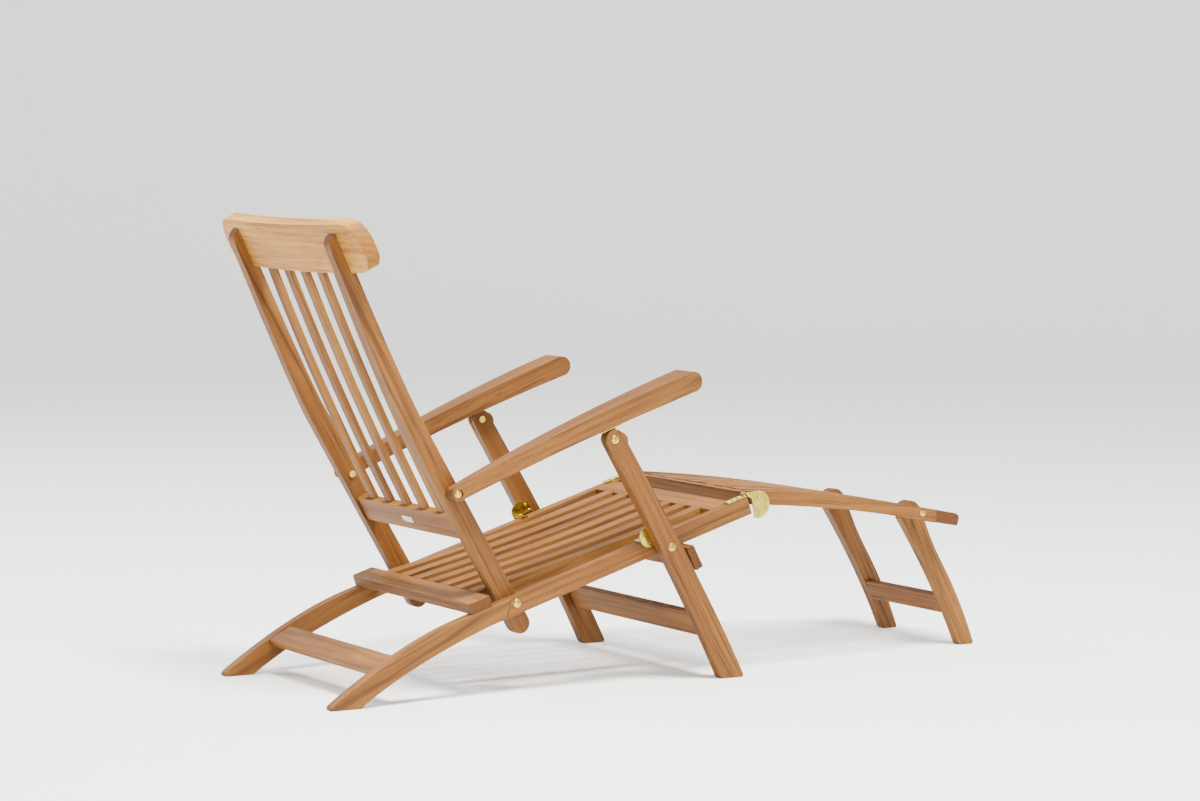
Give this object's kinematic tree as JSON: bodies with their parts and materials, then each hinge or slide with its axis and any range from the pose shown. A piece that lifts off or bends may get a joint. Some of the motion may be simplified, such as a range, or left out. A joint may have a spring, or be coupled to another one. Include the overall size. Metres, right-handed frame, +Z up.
{
  "type": "folding deck chair",
  "caption": "Folding slatted wooden deck chair with reclined back, flat arms, brass fittings and a hinged leg rest on its own folding legs.",
  "frame": {"origin": "on the floor, at the middle of the opened chair's bounding box", "axes": "+X to the sitter's left, +Y to the rear (the headboard end), +Z up"},
  "size_m": [0.6, 1.555, 0.9187],
  "materials": {
    "teak": "sanded teak, satin",
    "tops": "sanded teak, satin, lighter on top",
    "slats": "sanded teak, satin",
    "brass": "polished",
    "fasteners": "polished, slotted heads",
    "plate": "brushed, blank"
  },
  "bodies": {
    "seat": {"seat_rail_left": "teak", "seat_rail_right": "teak", "rear_leg_left": "teak", "rear_leg_right": "teak", "seat_front_rail": "teak", "seat_rear_board": "tops", "rear_stretcher": "teak", "seat_slat_1": "slats", "seat_slat_2": "slats", "seat_slat_3": "slats", "seat_slat_4": "slats", "seat_slat_5": "slats", "seat_slat_6": "slats", "seat_slat_7": "slats", "back_pivot_bolts": "fasteners", "front_leg_bolts": "fasteners", "seat_bolt_nuts": "fasteners", "front_leg_spacers": "fasteners", "hinge_strap_left": "brass", "hinge_strap_right": "brass", "hinge_strap_screws": "fasteners"},
    "back": {"back_stile_left": "teak", "back_stile_right": "teak", "headboard": "tops", "back_bottom_rail": "teak", "back_slat_1": "slats", "back_slat_2": "slats", "back_slat_3": "slats", "back_slat_4": "slats", "back_slat_5": "slats", "back_plate": "plate", "arm_pivot_bolts": "fasteners"},
    "arm_left": {"arm_left": "tops", "arm_bracket_left": "brass", "arm_screws_left": "fasteners"},
    "arm_right": {"arm_right": "tops", "arm_bracket_right": "brass", "arm_screws_right": "fasteners"},
    "front_frame": {"front_leg_left": "teak", "front_leg_right": "teak", "front_stretcher": "teak", "leg_crossbar": "teak", "leg_stop_left": "brass", "leg_stop_right": "brass", "leg_stop_screws": "fasteners", "arm_leg_bolts": "fasteners"},
    "leg_rest": {"rest_rail_left": "teak", "rest_rail_right": "teak", "rest_rear_rail": "teak", "rest_front_bar": "teak", "rest_slats": "slats", "hinge_ear_left": "brass", "hinge_ear_right": "brass", "hinge_ear_screws": "fasteners", "hinge_pins": "fasteners", "rest_leg_bolts": "fasteners"},
    "leg_rest_legs": {"rest_leg_left": "teak", "rest_leg_right": "teak", "rest_stretcher": "teak", "rest_leg_spacers": "fasteners"}
  },
  "joints": [
    {"name": "back_fold", "type": "hinge", "parent": "seat", "child": "back", "pos_m": [0, 0.3795, 0.177], "axis": [1, 0, 0], "range_deg": [0, 84]},
    {"name": "front_leg_fold", "type": "hinge", "parent": "seat", "child": "front_frame", "pos_m": [0, 0.0515, 0.269], "axis": [1, 0, 0], "range_deg": [0, 84]},
    {"name": "arm_left_pivot", "type": "hinge", "parent": "back", "child": "arm_left", "pos_m": [0.24, 0.5095, 0.394], "axis": [1, 0, 0], "range_deg": [-84, 0]},
    {"name": "arm_right_pivot", "type": "hinge", "parent": "back", "child": "arm_right", "pos_m": [-0.24, 0.5095, 0.394], "axis": [1, 0, 0], "range_deg": [-84, 0]},
    {"name": "leg_rest_fold", "type": "hinge", "parent": "seat", "child": "leg_rest", "pos_m": [0, -0.14594, 0.3592], "axis": [-1, 0, 0], "range_deg": [0, 40]},
    {"name": "leg_rest_legs_fold", "type": "hinge", "parent": "leg_rest", "child": "leg_rest_legs", "pos_m": [0, -0.6145, 0.291], "axis": [1, 0, 0], "range_deg": [0, 84]}
  ],
  "couplings": [
    {"joint": "front_leg_fold", "follows": "back_fold", "ratio": 1},
    {"joint": "arm_left_pivot", "follows": "back_fold", "ratio": -1},
    {"joint": "arm_right_pivot", "follows": "back_fold", "ratio": -1}
  ]
}
